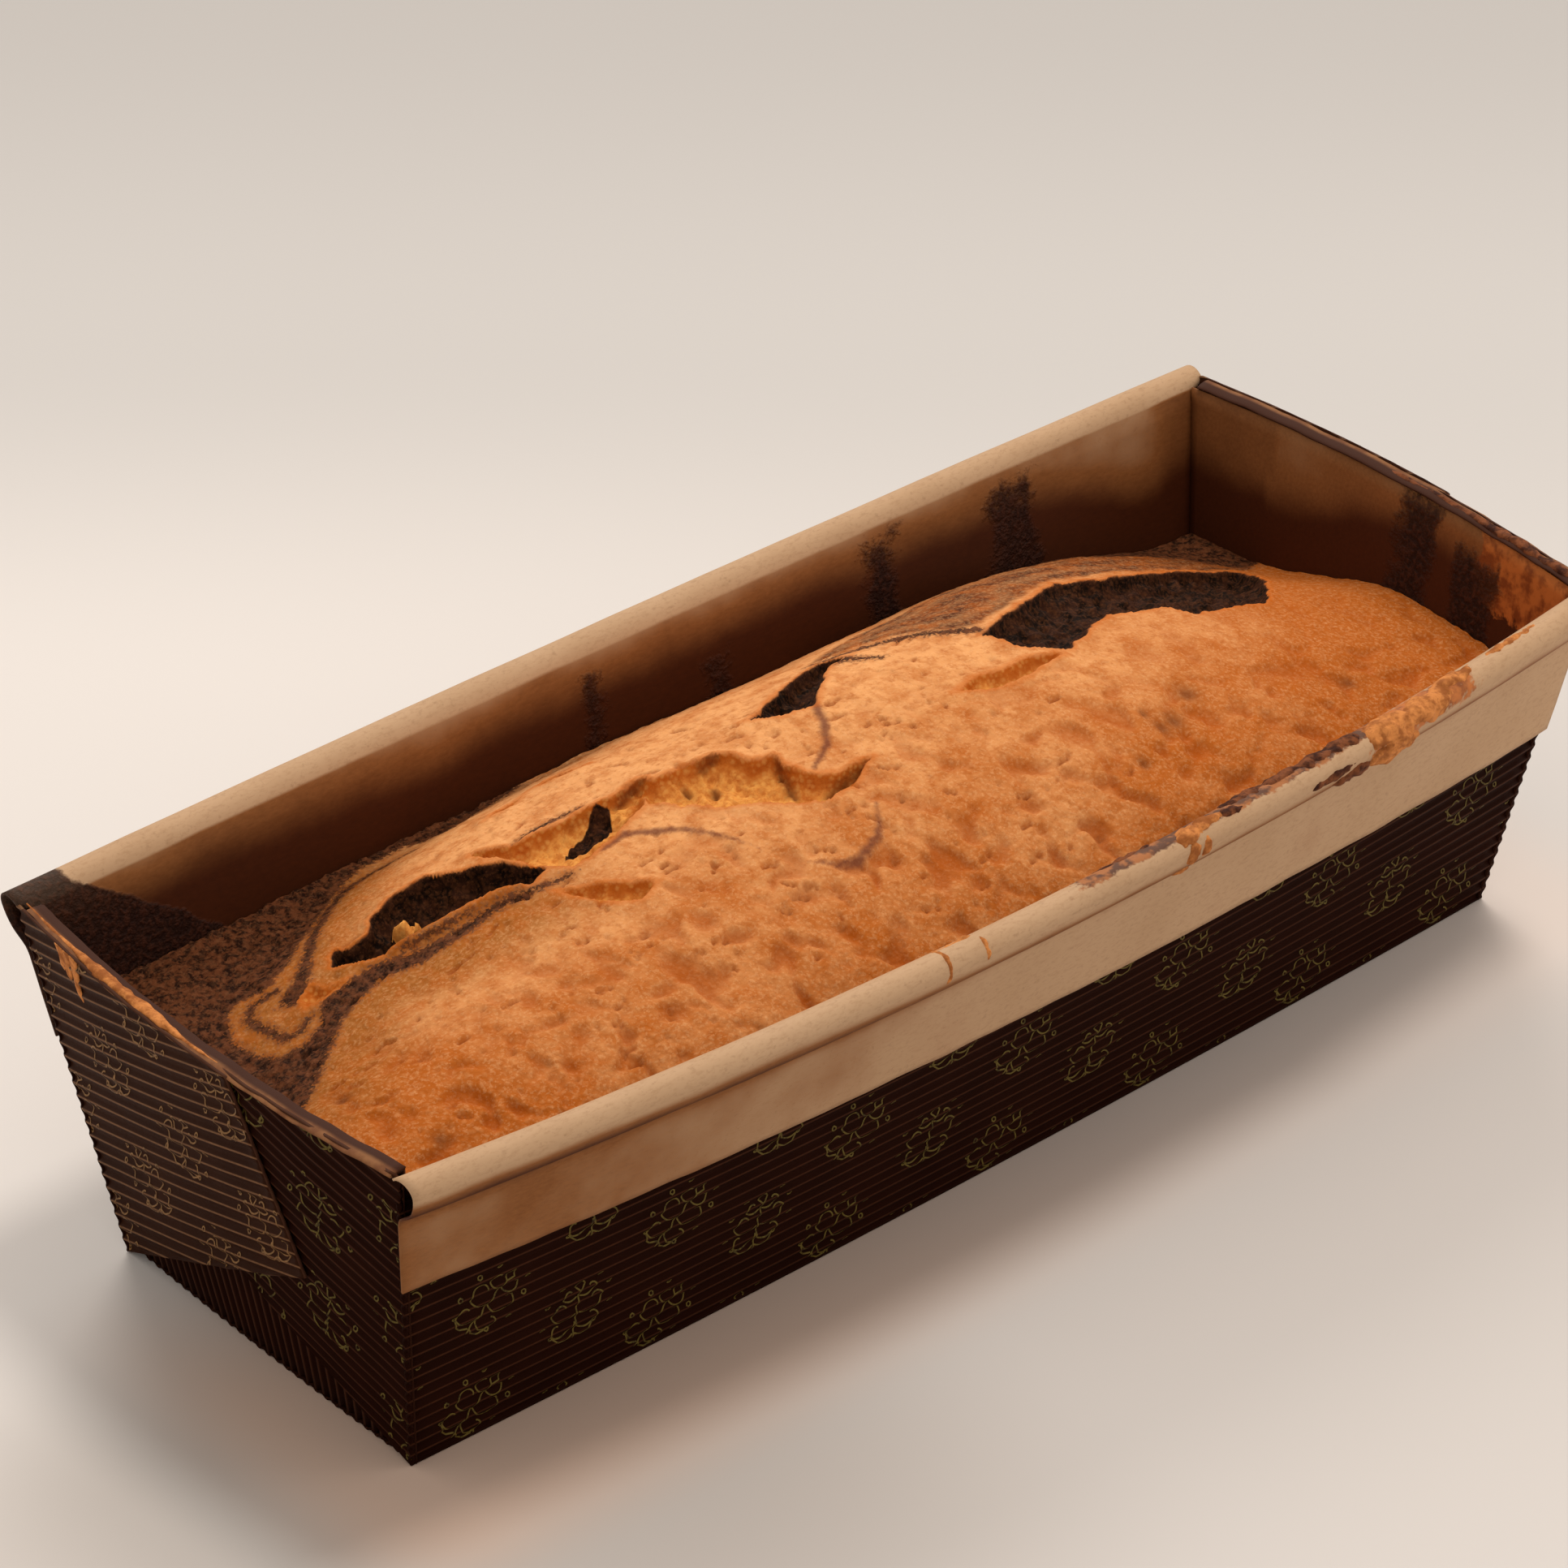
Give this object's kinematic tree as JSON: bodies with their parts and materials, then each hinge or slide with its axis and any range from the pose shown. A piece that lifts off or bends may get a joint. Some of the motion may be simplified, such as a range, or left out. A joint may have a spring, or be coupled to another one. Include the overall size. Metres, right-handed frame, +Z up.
{
  "type": "marbled loaf cake in a paper baking case",
  "caption": "Long domed chocolate-and-vanilla marble loaf with a split crust, baked and sold in a folded corrugated paper loaf case.",
  "frame": {"origin": "on the floor under the middle of the case's outer box", "axes": "+X along the loaf to its lower end, -Y to the long wall that is bowed out most, +Z up"},
  "size_m": [0.2212, 0.0955, 0.0604],
  "materials": {
    "baked_crust": "matte",
    "printed_paper": "matte",
    "kraft_liner": "matte"
  },
  "bodies": {
    "root": {"cake": "baked_crust", "paper_case": "printed_paper"}
  },
  "joints": []
}
